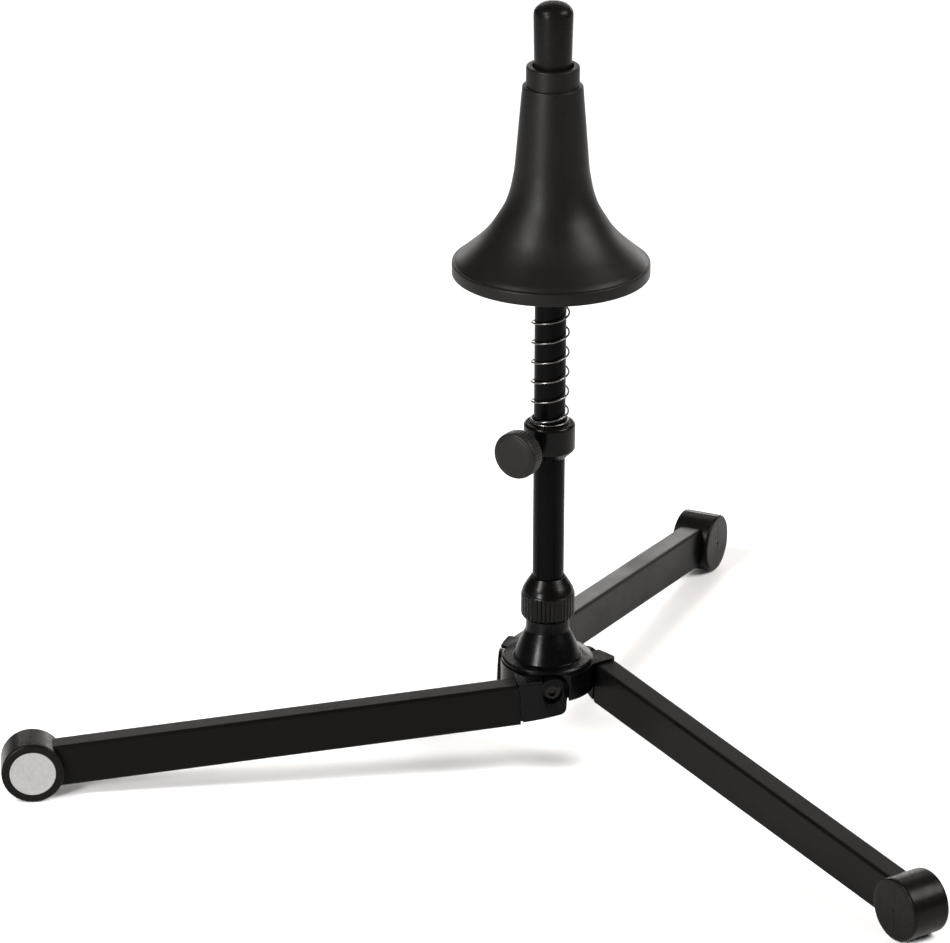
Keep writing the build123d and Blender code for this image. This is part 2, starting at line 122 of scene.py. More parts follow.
def leg_frame(number):
    """Matrix of a leg: x out along the sloping leg, y sideways, z square to both. Its origin is on
    the post's axis, at the height of the leg's pivot."""
    sideways = joint_axis(f"leg_{number}_fold")
    outward = sideways.cross(Vector((0, 0, 1)))
    outward.rotate(Matrix.Rotation(LEG_SLOPE, 3, sideways))
    up = outward.cross(sideways)
    origin = Vector((0, 0, joint_point(f"leg_{number}_fold").z))
    return Matrix.Translation(origin) @ Matrix((outward, sideways, up)).transposed().to_4x4()


def foot_frame(number):
    """Matrix of a foot: the leg's frame, moved to the foot's centre line."""
    return leg_frame(number) @ Matrix.Translation((FOOT_ALONG * MM, 0, FOOT_UP * MM))


# --- outlines -------------------------------------------------------------------------
def eased(points, steps=5):
    """Closed outline with round corners. Each point is (radius, height, corner size)."""
    outline = []
    for index, (x, y, size) in enumerate(points):
        here = Vector((x, y))
        before = Vector(points[index - 1][:2])
        after = Vector(points[(index + 1) % len(points)][:2])
        if size <= 0:
            outline.append(here)
            continue
        start = here + (before - here).normalized() * size
        end = here + (after - here).normalized() * size
        for step in range(steps + 1):
            t = step / steps
            outline.append(start * (1 - t) ** 2 + here * 2 * t * (1 - t) + end * t ** 2)
    return outline


def curve_through(points, steps=5):
    """Smooth Catmull-Rom line through a few given points."""
    pts = [Vector(p) for p in points]
    pts = [pts[0] * 2 - pts[1]] + pts + [pts[-1] * 2 - pts[-2]]
    line = []
    for a, b, c, d in zip(pts, pts[1:], pts[2:], pts[3:]):
        for step in range(steps):
            t = step / steps
            line.append(0.5 * (2 * b + (c - a) * t + (2 * a - 5 * b + 4 * c - d) * t ** 2
                               + (3 * b - a - 3 * c + d) * t ** 3))
    return line + [pts[-2]]


def box_section(inset, radius, steps=6):
    """Outline of the leg tube across its length, drawn inwards by the inset. One more point on the
    flat beside each round edge keeps the edge wear off the faces."""
    side_0, side_1 = LEG_SIDE[0] + inset + radius, LEG_SIDE[1] - inset - radius
    up_0, up_1 = LEG_UP[0] + inset + radius, LEG_UP[1] - inset - radius
    beside = 0.5
    outline = []
    for quarter, centre in enumerate([(side_1, up_1), (side_0, up_1), (side_0, up_0), (side_1, up_0)]):
        arc = [pi / 2 * (quarter + step / steps) for step in range(steps + 1)]
        start = Vector((cos(arc[0]), sin(arc[0])))
        end = Vector((cos(arc[-1]), sin(arc[-1])))
        middle = Vector(centre)
        outline.append(middle + start * radius - end * beside)
        outline += [middle + Vector((cos(angle), sin(angle))) * radius for angle in arc]
        outline.append(middle + end * radius - start * beside)
    return outline


# --- meshes ---------------------------------------------------------------------------
def new_piece(name, mesh):
    piece = bpy.data.objects.new(name, mesh)
    bpy.context.scene.collection.objects.link(piece)
    return piece


def shade_smooth(mesh, sharp):
    for face in mesh.polygons:
        face.use_smooth = True
    mesh.set_sharp_from_angle(angle=sharp)


def finish_mesh(name, bm, matrix=None, sharp=SHARP):
    """Turns a bmesh into a smooth-shaded object that keeps its hard edges."""
    if matrix is not None:
        bmesh.ops.transform(bm, matrix=matrix, verts=bm.verts)
    bmesh.ops.recalc_face_normals(bm, faces=bm.faces)
    mesh = bpy.data.meshes.new(name)
    bm.to_mesh(mesh)
    bm.free()
    shade_smooth(mesh, sharp)
    return new_piece(name, mesh)


def skin(bm, rings, closed=True):
    """Faces from each ring of vertices to the next. A ring of one vertex is a point on the axis."""
    for ring, other in zip(rings, rings[1:] + rings[:1] if closed else rings[1:]):
        if len(ring) == 1 and len(other) == 1:
            continue
        count = max(len(ring), len(other))
        for step in range(count):
            after = (step + 1) % count
            if len(ring) == 1:
                bm.faces.new((ring[0], other[step], other[after]))
            elif len(other) == 1:
                bm.faces.new((ring[step], other[0], ring[after]))
            else:
                bm.faces.new((ring[step], other[step], other[after], ring[after]))


def cap_ends(bm, rings):
    bm.faces.new(rings[0])
    bm.faces.new(rings[-1])


def on_ring(angle, radius, height):
    return radius * cos(angle) * MM, radius * sin(angle) * MM, height * MM


def turned(name, outline, matrix=None, segments=ROUND_STEPS, wave=None, sharp=SHARP):
    """Closed solid turned round +Z. wave(angle, radius, height) may change the radius as it goes round."""
    bm = bmesh.new()
    rings = []
    for radius, height in outline:
        if radius < ON_AXIS:
            rings.append([bm.verts.new((0, 0, height * MM))])
            continue
        ring = []
        for step in range(segments):
            angle = 2 * pi * step / segments
            waved = radius if wave is None else wave(angle, radius, height)
            ring.append(bm.verts.new(on_ring(angle, waved, height)))
        rings.append(ring)
    skin(bm, rings)
    return finish_mesh(name, bm, matrix, sharp)


def ribbed(count, depth, start, end, fade_length):
    """Radius wave: shallow ribs between two heights, fading out at both."""
    roundness = 0.7

    def wave(angle, radius, height):
        fade = max(0.0, min(1.0, (height - start) / fade_length, (end - height) / fade_length))
        rib = abs(sin(count * angle / 2)) ** roundness
        return radius - depth * fade * (1 - rib)
    return wave


def box_rings(bm, stations):
    """Rings of box sections along a leg. A station is (distance out, inset, edge radius)."""
    return [[bm.verts.new((along * MM, side * MM, up * MM)) for side, up in box_section(inset, radius)]
            for along, inset, radius in stations]


def refined(node, name, bevel, angle=radians(30)):
    """Copy of a CAD node with its flat faces merged and its hard edges eased by a small bevel."""
    same_place = 2e-6
    same_plane = radians(0.6)
    bm = bmesh.new()
    bm.from_mesh(NODES[node].data)
    bmesh.ops.remove_doubles(bm, verts=bm.verts, dist=same_place)
    bmesh.ops.dissolve_limit(bm, angle_limit=same_plane, verts=bm.verts, edges=bm.edges)
    piece = finish_mesh(name, bm, sharp=angle)
    ease = piece.modifiers.new("ease", "BEVEL")
    ease.width = bevel * MM
    ease.segments = 2
    ease.limit_method = "ANGLE"
    ease.angle_limit = angle
    ease.use_clamp_overlap = True
    ease.harden_normals = True
    ease.miter_outer = "MITER_ARC"
    return piece


def cut_away(piece, cutter):
    """Takes the cutter's shape out of the piece and deletes the cutter."""
    cut = piece.modifiers.new("cut", "BOOLEAN")
    cut.operation = "DIFFERENCE"
    cut.solver = "EXACT"
    cut.object = cutter
    bpy.context.view_layer.update()
    done = bpy.data.meshes.new_from_object(piece.evaluated_get(bpy.context.evaluated_depsgraph_get()))
    piece.modifiers.clear()
    piece.data = done
    shade_smooth(done, SHARP)
    bpy.data.objects.remove(cutter)


# --- materials ------------------------------------------------------------------------
RUBBED = (0.03, 0.028, 0.026)
NOISE_RANGE = (0.3, 0.7)


class Look:
    """Small helper that builds one node material. Sizes and depths are in millimetres."""

    def __init__(self, name, base, rough, specular=0.5, metallic=0.0):
        self.material = bpy.data.materials.new(name)
        self.material.use_nodes = True
        self.tree = self.material.node_tree
        self.shader = self.tree.nodes["Principled BSDF"]
        self.shader.inputs["Base Color"].default_value = (*base, 1)
        self.shader.inputs["Roughness"].default_value = rough
        self.shader.inputs["Specular IOR Level"].default_value = specular
        self.shader.inputs["Metallic"].default_value = metallic
        self.base = base
        self.rough = rough
        self.coord = self.tree.nodes.new("ShaderNodeTexCoord").outputs["Object"]
        self.normal = None

    def node(self, kind, **sockets):
        node = self.tree.nodes.new(kind)
        for name, value in sockets.items():
            node.inputs[name.replace("_", " ")].default_value = value
        return node

    def link(self, output, socket):
        self.tree.links.new(output, socket)

    def noise(self, size, detail=2.0, rough=0.5, stretch=(1, 1, 1)):
        mapping = self.node("ShaderNodeMapping", Scale=stretch)
        self.link(self.coord, mapping.inputs["Vector"])
        noise = self.node("ShaderNodeTexNoise", Scale=1 / (size * MM), Detail=detail, Roughness=rough)
        self.link(mapping.outputs["Vector"], noise.inputs["Vector"])
        return noise.outputs["Fac"]

    def span(self, value, source, target=(0.0, 1.0)):
        """Maps one range of a value to another."""
        node = self.node("ShaderNodeMapRange", From_Min=source[0], From_Max=source[1],
                         To_Min=target[0], To_Max=target[1])
        self.link(value, node.inputs["Value"])
        return node.outputs["Result"]

    def maths(self, operation, first, second):
        node = self.tree.nodes.new("ShaderNodeMath")
        node.operation = operation
        for socket, value in zip(node.inputs, (first, second)):
            if isinstance(value, (int, float)):
                socket.default_value = value
            else:
                self.link(value, socket)
        return node.outputs["Value"]

    def mixed(self, factor, first, second):
        """Mix of two colours, each an output or (red, green, blue)."""
        mix = self.tree.nodes.new("ShaderNodeMix")
        mix.data_type = "RGBA"
        self.link(factor, mix.inputs["Factor"])
        for socket, colour in (("A", first), ("B", second)):
            if isinstance(colour, tuple):
                mix.inputs[socket].default_value = (*colour, 1)
            else:
                self.link(colour, mix.inputs[socket])
        return mix.outputs["Result"]

    def edges(self):
        """Mask of the convex edges, broken up by a coarse noise."""
        geometry = self.tree.nodes.new("ShaderNodeNewGeometry")
        rounded = self.node("ShaderNodeBevel", Radius=0.45 * MM)
        compare = self.tree.nodes.new("ShaderNodeVectorMath")
        compare.operation = "DOT_PRODUCT"
        self.link(rounded.outputs["Normal"], compare.inputs[0])
        self.link(geometry.outputs["Normal"], compare.inputs[1])
        edge = self.span(compare.outputs["Value"], (0.995, 0.93))
        convex = self.span(geometry.outputs["Pointiness"], (0.505, 0.54))
        broken = self.span(self.noise(2.2, detail=4.0, rough=0.7), (0.42, 0.66), (0.15, 1.0))
        return self.maths("MULTIPLY", self.maths("MULTIPLY", edge, convex), broken)

    def colour(self, speckle, contrast, wear=0.0, rubbed=RUBBED):
        """Slight mottling of the base colour, with lighter, rubbed edges mixed over it."""
        mottle = self.span(self.noise(speckle, detail=4.0, rough=0.65), NOISE_RANGE)
        dark, light = (tuple(c * share for c in self.base) for share in (1 - contrast, 1 + contrast))
        result = self.mixed(mottle, dark, light)
        if wear > 0:
            result = self.mixed(self.maths("MULTIPLY", self.edges(), wear), result, rubbed)
        self.link(result, self.shader.inputs["Base Color"])

    def roughness(self, blotch, spread, fine=None):
        """Handling marks: broad smooth and dull areas, with a little fine variation."""
        value = self.span(self.noise(blotch, detail=3.0, rough=0.6), NOISE_RANGE,
                          (self.rough - spread, self.rough + spread))
        if fine is not None:
            variation = self.span(self.noise(fine), NOISE_RANGE, (-spread * 0.5, spread * 0.5))
            value = self.maths("ADD", value, variation)
        self.link(value, self.shader.inputs["Roughness"])

    def grain(self, size, depth, strength, **noise):
        """Bump of one noise, on top of the bumps before it."""
        height = self.noise(size, **noise)
        node = self.node("ShaderNodeBump", Strength=strength, Distance=depth * MM)
        self.link(height, node.inputs["Height"])
        if self.normal is not None:
            self.link(self.normal, node.inputs["Normal"])
        self.normal = node.outputs["Normal"]
        self.link(self.normal, self.shader.inputs["Normal"])


def powder_coat():
    """Fine orange-peel powder coat on the legs."""
    look = Look("powder_coat", (0.0016, 0.0015, 0.0013), rough=0.33, specular=0.05)
    look.colour(speckle=0.7, contrast=0.22, wear=0.25)
    look.roughness(blotch=28.0, spread=0.06, fine=0.8)
    look.grain(size=0.75, depth=0.060, strength=0.55)
    look.grain(size=6.0, depth=0.05, strength=0.25)
    return look.material


def cast_paint():
    """Semi-gloss paint over a fine-grained casting: hub and knuckles."""
    look = Look("cast_paint", (0.0010, 0.0009, 0.0009), rough=0.25, specular=0.075)
    look.colour(speckle=1.2, contrast=0.2, wear=0.3)
    look.roughness(blotch=14.0, spread=0.06, fine=1.0)
    look.grain(size=0.55, depth=0.045, strength=0.5, detail=3.0, rough=0.6)
    return look.material


def satin_paint():
    """Smooth satin paint on the post, with faint marks along it."""
    look = Look("satin_paint", (0.0009, 0.0008, 0.0008), rough=0.27, specular=0.028)
    look.colour(speckle=1.5, contrast=0.15)
    look.roughness(blotch=35.0, spread=0.05, fine=1.2)
    look.grain(size=1.1, depth=0.02, strength=0.35)
    look.grain(size=0.25, depth=0.008, strength=0.35, stretch=(1, 1, 0.03))
    return look.material


def gloss_paint():
    """Glossier paint on the turned collar."""
    look = Look("gloss_paint", (0.0016, 0.0015, 0.0014), rough=0.22, specular=0.08)
    look.colour(speckle=1.5, contrast=0.15, wear=0.3)
    look.roughness(blotch=10.0, spread=0.05, fine=0.9)
    look.grain(size=0.6, depth=0.02, strength=0.4)
    return look.material


def gloss_moulding():
    """Shiny injection moulding of the lock nut."""
    look = Look("gloss_moulding", (0.0010, 0.0009, 0.0008), rough=0.27, specular=0.10)
    look.colour(speckle=2.0, contrast=0.15, wear=0.25, rubbed=(0.026, 0.024, 0.022))
    look.roughness(blotch=8.0, spread=0.05, fine=0.8)
    look.grain(size=0.8, depth=0.018, strength=0.4)
    return look.material


def matte_moulding(name, base, rough, grain, depth):
    """Spark-eroded texture of the bell cone and the knob."""
    look = Look(name, base, rough, specular=0.10)
    look.colour(speckle=0.5, contrast=0.45, wear=0.22)
    look.roughness(blotch=22.0, spread=0.05, fine=0.6)
    look.grain(grain, depth, strength=0.55, detail=3.0, rough=0.6)
    look.grain(size=9.0, depth=0.05, strength=0.15)
    return look.material


def rubber():
    """Moulded rubber of the feet and the cap, with a soft bloom."""
    look = Look("rubber", (0.0030, 0.0028, 0.0025), rough=0.29, specular=0.055)
    look.colour(speckle=1.4, contrast=0.3, wear=0.18)
    look.roughness(blotch=7.0, spread=0.05, fine=1.0)
    look.grain(size=0.5, depth=0.05, strength=0.5, detail=4.0, rough=0.65)
    look.grain(size=4.0, depth=0.06, strength=0.25, detail=3.0, rough=0.6)
    return look.material


def spring_wire():
    """Blackened spring wire."""
    look = Look("spring_wire", (0.11, 0.105, 0.10), rough=0.30, metallic=1.0)
    look.colour(speckle=0.6, contrast=0.35)
    look.roughness(blotch=3.0, spread=0.08, fine=0.5)
    look.grain(size=0.15, depth=0.006, strength=0.5, detail=3.0, rough=0.6)
    return look.material


def black_oxide(name):
    """Black-oxide steel of the screws and the insert, rubbed bright at the edges."""
    look = Look(name, (0.014, 0.0135, 0.013), rough=0.30, metallic=1.0)
    look.colour(speckle=0.5, contrast=0.3, wear=0.35, rubbed=(0.07, 0.068, 0.065))
    look.roughness(blotch=2.5, spread=0.08, fine=0.4)
    look.grain(size=0.2, depth=0.008, strength=0.5, detail=3.0, rough=0.6)
    return look.material


def nylon():
    """Dark nylon of the bush and washers."""
    look = Look("nylon", (0.03, 0.03, 0.031), rough=0.42)
    look.colour(speckle=0.8, contrast=0.2)
    look.roughness(blotch=4.0, spread=0.06, fine=0.6)
    look.grain(size=0.5, depth=0.012, strength=0.4, detail=3.0, rough=0.6)
    return look.material


def grey_disc():
    """Plain light disc in the end of each foot, slightly scuffed."""
    look = Look("grey_disc", (0.19, 0.19, 0.19), rough=0.42, specular=0.3)
    look.colour(speckle=1.6, contrast=0.10, wear=0.3, rubbed=(0.13, 0.13, 0.127))
    look.roughness(blotch=5.0, spread=0.08, fine=0.6)
    look.grain(size=0.6, depth=0.02, strength=0.4, detail=3.0, rough=0.6)
    return look.material


def pale_floor():
    """Plain pale studio floor."""
    look = Look("pale_floor", (0.80, 0.80, 0.80), rough=0.65, specular=0.2)
    look.colour(speckle=120.0, contrast=0.006)
    look.roughness(blotch=90.0, spread=0.04)
    look.grain(size=3.0, depth=0.02, strength=0.1)
    return look.material


LOOKS = {
    "leg_paint": powder_coat(),
    "hub_paint": cast_paint(),
    "post_paint": satin_paint(),
    "collar_paint": gloss_paint(),
    "nut_plastic": gloss_moulding(),
    "cone_plastic": matte_moulding("matte_moulding", (0.0034, 0.0030, 0.0027), 0.42, grain=0.34, depth=0.05),
    "knob_plastic": matte_moulding("knob_moulding", (0.0060, 0.0054, 0.0049), 0.46, grain=0.45, depth=0.06),
    "rubber": rubber(),
    "spring_steel": spring_wire(),
    "black_steel": black_oxide("black_oxide"),
    "nylon": nylon(),
    "insert_steel": black_oxide("insert_steel"),
    "disc_plastic": grey_disc(),
}


def dress(piece, slot):
    piece.data.materials.clear()
    piece.data.materials.append(LOOKS[slot])


def stand_for(piece, node):
    """The piece takes over a CAD node: its look, its body and its material slot."""
    dress(piece, NODE_SLOT[node])
    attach(piece, BODY_OF[node])
    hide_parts(node)


# --- bell cone, bush, cap and post ----------------------------------------------------
def bell_cone():
    """Hollow flared moulding, with a ring on its neck and a thin flange round its rim."""
    bottom, top = heights("bell_cone")
    rim_r = reach("bell_cone")
    wall = 2.2
    flare = [(18.6, 56.1), (19.35, 51.3), (20.9, 43.6), (23.3, 36.6), (26.6, 30.6), (31.1, 23.6),
             (36.3, 17.7), (41.9, 12.6), (47.1, 8.2)]
    outer = [(radius, height + bottom) for radius, height in curve_through(flare)]
    inner = [(radius - wall, height - wall * 0.75) for radius, height in reversed(outer)]

    lip_r, lip_height = flare[-1]
    lip = bottom + lip_height
    rim = eased([
        (lip_r, lip, 0), (rim_r - 1.35, bottom + 6.75, 0.5), (rim_r - 0.75, bottom + 6.5, 0.12),
        (rim_r - 0.62, bottom + 6.62, 0.12), (rim_r, bottom + 6.3, 0.5), (rim_r, bottom, 0.9),
        (rim_r - 2.4, bottom, 0.5), (lip_r - wall, lip - wall, 0)])

    taper_r = flare[0][0]
    taper_end = top - 52.3
    shoulder_r = 15.1
    neck_r = 13.3
    neck_foot = top - 10.1
    mouth_r = 10.3
    mouth_foot = top - 2.3
    bush_seat_r = 11.0
    neck = eased([
        (16.2, taper_end, 0), (12.9, top - 18.1, 0), (bush_seat_r, top - 20.1, 0),
        (bush_seat_r, mouth_foot, 0), (mouth_r, mouth_foot, 0.2), (mouth_r, top, 0.5), (neck_r, top, 0.8),
        (neck_r, neck_foot, 0.25), (shoulder_r, neck_foot, 0.7), (taper_r, taper_end, 0)])
    outline = neck + [Vector(p) for p in outer[1:]] + rim[1:] + [Vector(p) for p in inner[1:-1]]
    return turned("bell_cone_moulding", outline, segments=192)


def bush(node, name):
    """Plain ring that slides on the post."""
    bottom, top = heights(node)
    outer = reach(node)
    edge = min(0.3, (top - bottom) / 4)
    return turned(name, eased([(SLIDING_BORE_R, bottom, edge), (SLIDING_BORE_R, top, edge),
                               (outer, top, edge), (outer, bottom, edge)], 3))


def post_cap():
    """Slip-on cap with a domed top."""
    bottom, top = heights("post_cap")
    side_r = 9.9
    side_top = top - 6.7
    inside_top = top - 5.8
    dome = curve_through([(side_r, side_top), (9.55, top - 4.8), (8.5, top - 3.1), (6.4, top - 1.5),
                          (3.3, top - 0.4), (0, top)])
    outline = [Vector((0, inside_top)), Vector((POST_R, inside_top)), Vector((POST_R, bottom))]
    outline += eased([(POST_R, bottom, 0), (9.3, bottom, 0.3), (side_r, side_top, 0)], 4)[1:-1]
    return turned("post_cap_rubber", outline + dome, segments=128, sharp=radians(50))


def post_tube():
    bottom, top = heights("post_tube")
    outline = eased([(POST_BORE_R, bottom, 0.2), (POST_BORE_R, top, 0.2), (POST_R, top, 0.4),
                     (POST_R, bottom, 0.4)], 3)
    return turned("post_tube_painted", outline, segments=128)


# --- spring ---------------------------------------------------------------------------
def spring_line(wire):
    """Centre line of the compression spring. Its last turn at each end is closed."""
    bottom, top = heights("cone_spring")
    bottom += wire
    top -= wire
    radius = 9.4
    pitch = 10.5
    start_angle = radians(178)
    steps_per_turn = 40
    extra = 0.8
    closed = 1.1
    closed_rise = 2 * wire + 0.05
    total = (top - bottom) / pitch + extra + closed
    open_total = total - 2 * closed
    line = []
    for step in range(int(total * steps_per_turn) + 1):
        turn = step / steps_per_turn
        open_share = min(max(turn - closed, 0.0), open_total) / open_total
        closed_turns = min(turn, closed) + max(turn - (total - closed), 0.0)
        z = bottom + closed_rise * closed_turns + open_share * (top - bottom - 2 * closed * closed_rise)
        angle = 2 * pi * turn + start_angle
        line.append(Vector((radius * cos(angle), radius * sin(angle), z)))
    return line


def cone_spring():
    """Round wire along the spring's line."""
    wire = 0.5
    sides = 12
    line = spring_line(wire)
    bm = bmesh.new()
    rings = []
    for index, point in enumerate(line):
        forward = (line[min(index + 1, len(line) - 1)] - line[max(index - 1, 0)]).normalized()
        out = Vector((point.x, point.y, 0)).normalized()
        up = forward.cross(out).normalized()
        out = up.cross(forward)
        ring = []
        for side in range(sides):
            angle = 2 * pi * side / sides
            ring.append(bm.verts.new((point + out * (wire * cos(angle)) + up * (wire * sin(angle))) * MM))
        rings.append(ring)
    skin(bm, rings, closed=False)
    cap_ends(bm, rings)
    return finish_mesh("cone_spring_wire", bm, sharp=radians(60))


# --- collar, knob and nut -------------------------------------------------------------
def stop_collar():
    """Turned collar with a chamfer below and a rounded shoulder above."""
    bottom, top = heights("stop_collar")
    r = reach("stop_collar")
    chamfer = 4.5
    return turned("stop_collar_turned", eased([
        (SLIDING_BORE_R, bottom, 0.2), (r - chamfer, bottom, 0.35), (r, bottom + chamfer, 0.7),
        (r, top, 2.1), (8.75, top, 0.25), (SLIDING_BORE_R, top - 0.7, 0.2)], 8))


def clamp_knob():
    """Knob with a slightly domed face, a rim line and faint ribs. Heights are out from the post's axis."""
    r = 12.15
    neck = 19.0
    back = 25.0
    face = 35.0
    neck_r = 5.2
    screw_r = 2.95
    outline = eased([
        (screw_r, neck, 0.2), (neck_r, neck, 0.5), (neck_r, back, 0.8), (r - 1.2, back, 0.7),
        (r, back + 1.8, 1.0), (r, face - 2.6, 0.2), (r - 0.35, face - 1.3, 0.8), (r - 1.7, face - 0.62, 0.6),
        (r - 1.95, face - 0.80, 0.1), (r - 2.5, face - 0.45, 0.4), (r - 6.0, face - 0.02, 2.5), (0, face, 0)])
    screw_end = face - 3.0
    outline += [Vector((0, screw_end)), Vector((screw_r, screw_end))]
    place = axis_frame(Vector((0, 0, joint_point("knob_turn").z)), joint_axis("knob_turn"))
    ribs = ribbed(count=44, depth=0.22, start=back + 1.2, end=face - 1.6, fade_length=0.8)
    return turned("clamp_knob_moulding", outline, place, 320, ribs)


def lock_nut():
    """Round nut: a fluted band with scalloped ends and a domed top."""
    bottom, top = heights("lock_nut")
    r = 13.75
    shoulder = top - 9.0
    ceiling = shoulder + 6.0
    bore_r = 8.25
    recess_r = 10.6
    outline = eased([
        (recess_r, bottom, 0.2), (r - 1.4, bottom, 0.4), (r - 0.35, bottom + 1.1, 0.4),
        (r, bottom + 1.9, 0.4), (r, shoulder - 0.6, 0.1), (r, shoulder - 0.2, 0.3),
        (r - 0.35, shoulder + 0.25, 0.3),
        (13.2, shoulder + 1.2, 0.6), (12.2, shoulder + 3.5, 1.4), (10.6, shoulder + 6.0, 1.5),
        (8.85, top - 0.15, 0.3), (bore_r, top, 0.15), (bore_r, ceiling, 0), (8.9, ceiling, 0),
        (recess_r, shoulder + 0.5, 0)], 6)
    flutes = ribbed(count=36, depth=0.55, start=bottom - 0.4, end=shoulder, fade_length=0.5)
    return turned("lock_nut_moulding", outline, None, 432, flutes)


# --- legs and feet --------------------------------------------------------------------
def leg_tube(number):
    """Box section with rounded edges and open ends."""
    inner, outer = LEG_ALONG
    ease = 0.22
    inside_r = 0.4
    bm = bmesh.new()
    skin(bm, box_rings(bm, [
        (inner, ease, LEG_EDGE_R), (inner + ease, 0, LEG_EDGE_R), (outer, 0, LEG_EDGE_R),
        (outer, LEG_WALL, inside_r), (inner + ease, LEG_WALL, inside_r), (inner, LEG_WALL - ease, 0.6)]))
    return finish_mesh(f"leg_tube_{number}_coated", bm, leg_frame(number), radians(25))


def foot_outline():
    """Outline of a foot: a small dimple in its plain face and a seat for the disc in the other one.
    More points across the plain face keep the edge wear off it."""
    plain, faced = FOOT_SIDE
    seat_r = DISC_R + 0.1
    seat = faced - DISC_SEAT
    steps = 5
    outline = eased([
        (0, plain + 0.4, 0), (0.7, plain + 0.35, 0.2), (1.3, plain, 0.3), (FOOT_R - 0.2, plain, 1.25),
        (FOOT_R, plain + 1.8, 0.5), (FOOT_R, faced - 1.8, 0.5), (FOOT_R - 0.2, faced, 1.25),
        (seat_r, faced, 0.2), (seat_r, seat, 0), (0, seat, 0)], steps)
    after_dimple = 1 + 2 * (steps + 1)
    plain_face = [Vector((radius, plain)) for radius in (3.0, 6.0, 9.0, 12.0)]
    return outline[:after_dimple] + plain_face + outline[after_dimple:]


def seamed_rings(bm, outline, segments=96, half_width=0.13, depth=0.14):
    """Rings of an outline turned round +Z, with a thin mould seam cut in on two opposite sides."""
    one_step = 2 * pi / segments
    rings = []
    for index, (radius, height) in enumerate(outline):
        if radius < ON_AXIS:
            rings.append([bm.verts.new((0, 0, height * MM))])
            continue
        run = (outline[(index + 1) % len(outline)] - outline[index - 1]).normalized()
        normal = Vector((run.y, -run.x))
        lean = min(half_width / radius, 0.8 * one_step)
        ring = []
        for step in range(segments):
            angle = 2 * pi * step / segments
            from_seam = (step + 1) % (segments // 2) - 1
            if from_seam == 0:
                place = on_ring(angle, radius - normal.x * depth, height - normal.y * depth)
            elif from_seam in (1, -1):
                place = on_ring(angle + (lean - one_step) * from_seam, radius, height)
            else:
                place = on_ring(angle, radius, height)
            ring.append(bm.verts.new(place))
        rings.append(ring)
    return rings


def foot(number):
    """Barrel foot with its seam upright, cut out where the leg tube runs into it."""
    bm = bmesh.new()
    skin(bm, seamed_rings(bm, foot_outline()))
    upright = Matrix.Rotation(-LEG_SLOPE, 4, "Y")
    lay_sideways = Matrix(((0, 1, 0), (0, 0, 1), (1, 0, 0))).to_4x4()
    piece = finish_mesh(f"foot_{number}_rubber", bm, foot_frame(number) @ upright @ lay_sideways)
    cut_start = FOOT_ALONG - 30
    cut_end = LEG_ALONG[1] + 0.1
    cutter_bm = bmesh.new()
    rings = box_rings(cutter_bm, [(cut_start, 0, LEG_EDGE_R), (cut_end, 0, LEG_EDGE_R)])
    skin(cutter_bm, rings, closed=False)
    cap_ends(cutter_bm, rings)
    cut_away(piece, finish_mesh("foot_cutter", cutter_bm, leg_frame(number)))
    return piece


def foot_disc(number):
    """Disc with a narrow raised rim, just under the foot's end face."""
    front = FOOT_SIDE[1]
    back = front - DISC_SEAT
    outline = eased([
        (0, back, 0), (DISC_R, back, 0.1), (DISC_R, front - 0.02, 0.18), (DISC_R - 0.9, front - 0.02, 0.15),
        (DISC_R - 1.15, front - 0.16, 0.12), (0, front - 0.12, 0)], 4)
    place = foot_frame(number) @ Matrix.Rotation(-pi / 2, 4, "X")
    return turned(f"foot_disc_{number}_plain", outline, place, 96)


# --- the whole stand ------------------------------------------------------------------
def build_upper():
    stand_for(bell_cone(), "bell_cone")
    stand_for(bush("cone_bush", "cone_bush_turned"), "cone_bush")
    stand_for(bush("spring_washer", "spring_washer_flat"), "spring_washer")
    stand_for(post_cap(), "post_cap")
    stand_for(post_tube(), "post_tube")
    stand_for(stop_collar(), "stop_collar")
    stand_for(clamp_knob(), "clamp_knob")
    stand_for(lock_nut(), "lock_nut")
    spring = cone_spring()
    stand_for(spring, "cone_spring")
    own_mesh(spring)


def build_base():
    stand_for(refined("hub", "hub_casting", 0.35), "hub")
    for number in LEGS:
        stand_for(refined(f"knuckle_{number}", f"knuckle_{number}_casting", 0.3), f"knuckle_{number}")
        stand_for(leg_tube(number), f"leg_tube_{number}")
        stand_for(foot(number), f"foot_{number}")
        stand_for(foot_disc(number), f"foot_disc_{number}")
        screw = f"pivot_screw_{number}"
        stand_for(refined(screw, f"{screw}_head", 0.15), screw)


def dress_cad_nodes():
    """Every CAD node gets its procedural finish. It shows on the nodes that no piece replaces."""
    for name, node in NODES.items():
        dress(node, NODE_SLOT[name])


# --- stage, light and camera, in metres and degrees from here -------------------------
CAMERA_DISTANCE = 2.47325
CAMERA_HEIGHT = 1.15577
CAMERA_BEARING = radians(6.306)
CAMERA_HEADING = radians(5.437)
CAMERA_PITCH = radians(21.971)
CAMERA_ROLL = radians(0.234)
CAMERA_LENS = 199.58
SENSOR = 36.0
WHITE = (1, 1, 1)
WARM = (1.0, 0.965, 0.935)
WORLD_STRENGTH = 0.10
FLOOR_HALF = 9.0
FLOOR_DROP = 0.0002


def floor():
    """Flat floor a hair's breadth under the feet."""
    bm = bmesh.new()
    bmesh.ops.create_grid(bm, x_segments=8, y_segments=8, size=FLOOR_HALF)
    piece = finish_mesh("floor", bm)
    piece.location.z = -FLOOR_DROP
    piece.data.materials.append(pale_floor())


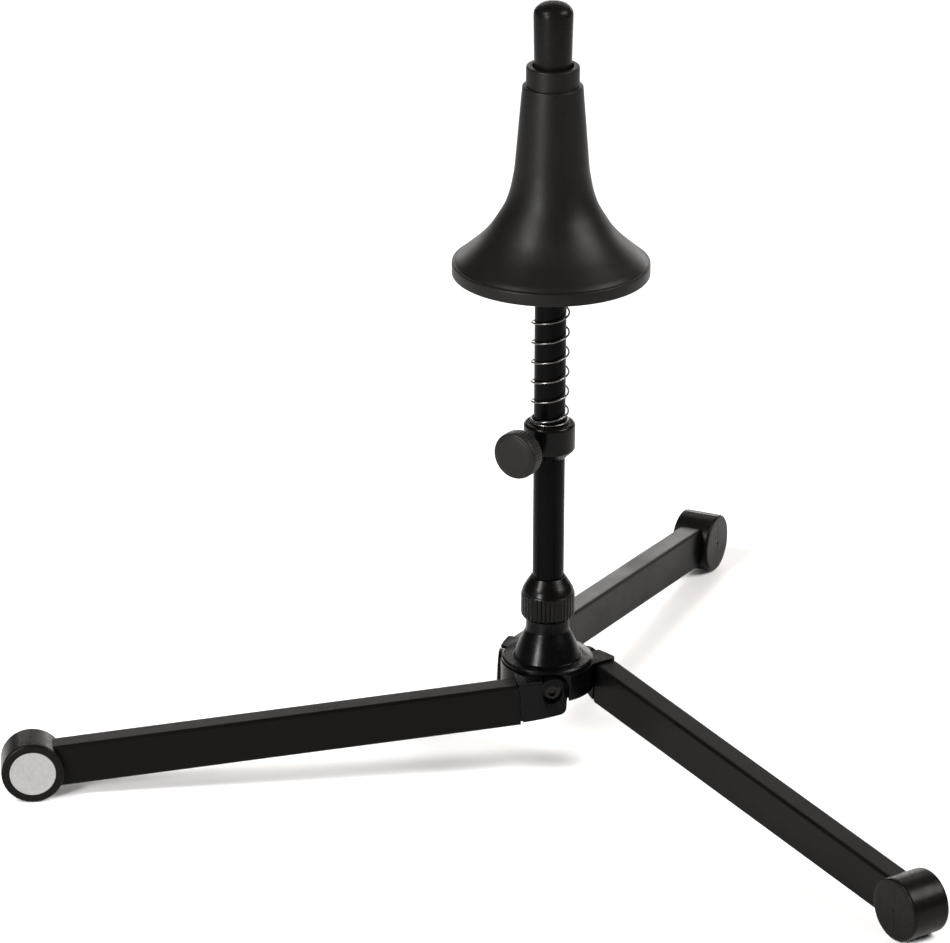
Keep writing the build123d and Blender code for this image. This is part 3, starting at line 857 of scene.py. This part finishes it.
def soft_light(name, place, target, size, power, colour=WHITE):
    light = bpy.data.lights.new(name, "AREA")
    light.shape = "RECTANGLE"
    light.size, light.size_y = size
    light.energy = power
    light.color = colour
    lamp = bpy.data.objects.new(name, light)
    bpy.context.scene.collection.objects.link(lamp)
    lamp.location = place
    aim = Vector(target) - Vector(place)
    lamp.rotation_euler = aim.to_track_quat("-Z", "Y").to_euler()


def around(bearing, elevation, distance):
    """Point seen from the object at a bearing to the right of the camera and an elevation."""
    angle = radians(bearing) - CAMERA_BEARING
    level = cos(radians(elevation)) * distance
    return (sin(angle) * level, -cos(angle) * level, sin(radians(elevation)) * distance)


def lights():
    """Two soft boxes on the left, one on the right and two wide ones behind, in a dim white world."""
    world = bpy.data.worlds.new("studio")
    bpy.context.scene.world = world
    world.use_nodes = True
    background = world.node_tree.nodes["Background"]
    background.inputs["Color"].default_value = (*WHITE, 1)
    background.inputs["Strength"].default_value = WORLD_STRENGTH
    middle = (0, 0, 0.2)
    base = (0, 0, 0.08)
    soft_light("key_left", around(-52, 45, 2.2), middle, size=(0.50, 0.80), power=54, colour=WARM)
    soft_light("strip_left", around(-38, 19, 2.0), base, size=(0.42, 0.45), power=46)
    soft_light("side_right", around(78, 43, 2.2), middle, size=(1.1, 0.9), power=62, colour=WARM)
    soft_light("upper_back", around(176, 40, 2.6), middle, size=(2.8, 0.7), power=16, colour=WARM)
    soft_light("back", around(176, 11, 2.9), middle, size=(3.4, 0.5), power=36, colour=WARM)
    bpy.context.scene.view_settings.view_transform = "Standard"


def camera():
    """Long lens from the front, a little left of square to the first leg, looking down."""
    view = bpy.data.cameras.new("camera")
    view.sensor_fit = "HORIZONTAL"
    view.sensor_width = SENSOR
    view.lens = CAMERA_LENS
    view.clip_start = 0.1
    view.clip_end = 50
    piece = bpy.data.objects.new("camera", view)
    bpy.context.scene.collection.objects.link(piece)
    place = Vector((-sin(CAMERA_BEARING), -cos(CAMERA_BEARING), 0)) * CAMERA_DISTANCE
    place.z = CAMERA_HEIGHT
    forward = Vector((sin(CAMERA_HEADING) * cos(CAMERA_PITCH), cos(CAMERA_HEADING) * cos(CAMERA_PITCH),
                      -sin(CAMERA_PITCH)))
    level = Vector((cos(CAMERA_HEADING), -sin(CAMERA_HEADING), 0))
    upward = level.cross(forward)
    right = level * cos(CAMERA_ROLL) + upward * sin(CAMERA_ROLL)
    up = upward * cos(CAMERA_ROLL) - level * sin(CAMERA_ROLL)
    piece.matrix_world = Matrix.Translation(place) @ Matrix((right, up, -forward)).transposed().to_4x4()
    bpy.context.scene.camera = piece


camera()
floor()
lights()
build_upper()
build_base()
dress_cad_nodes()
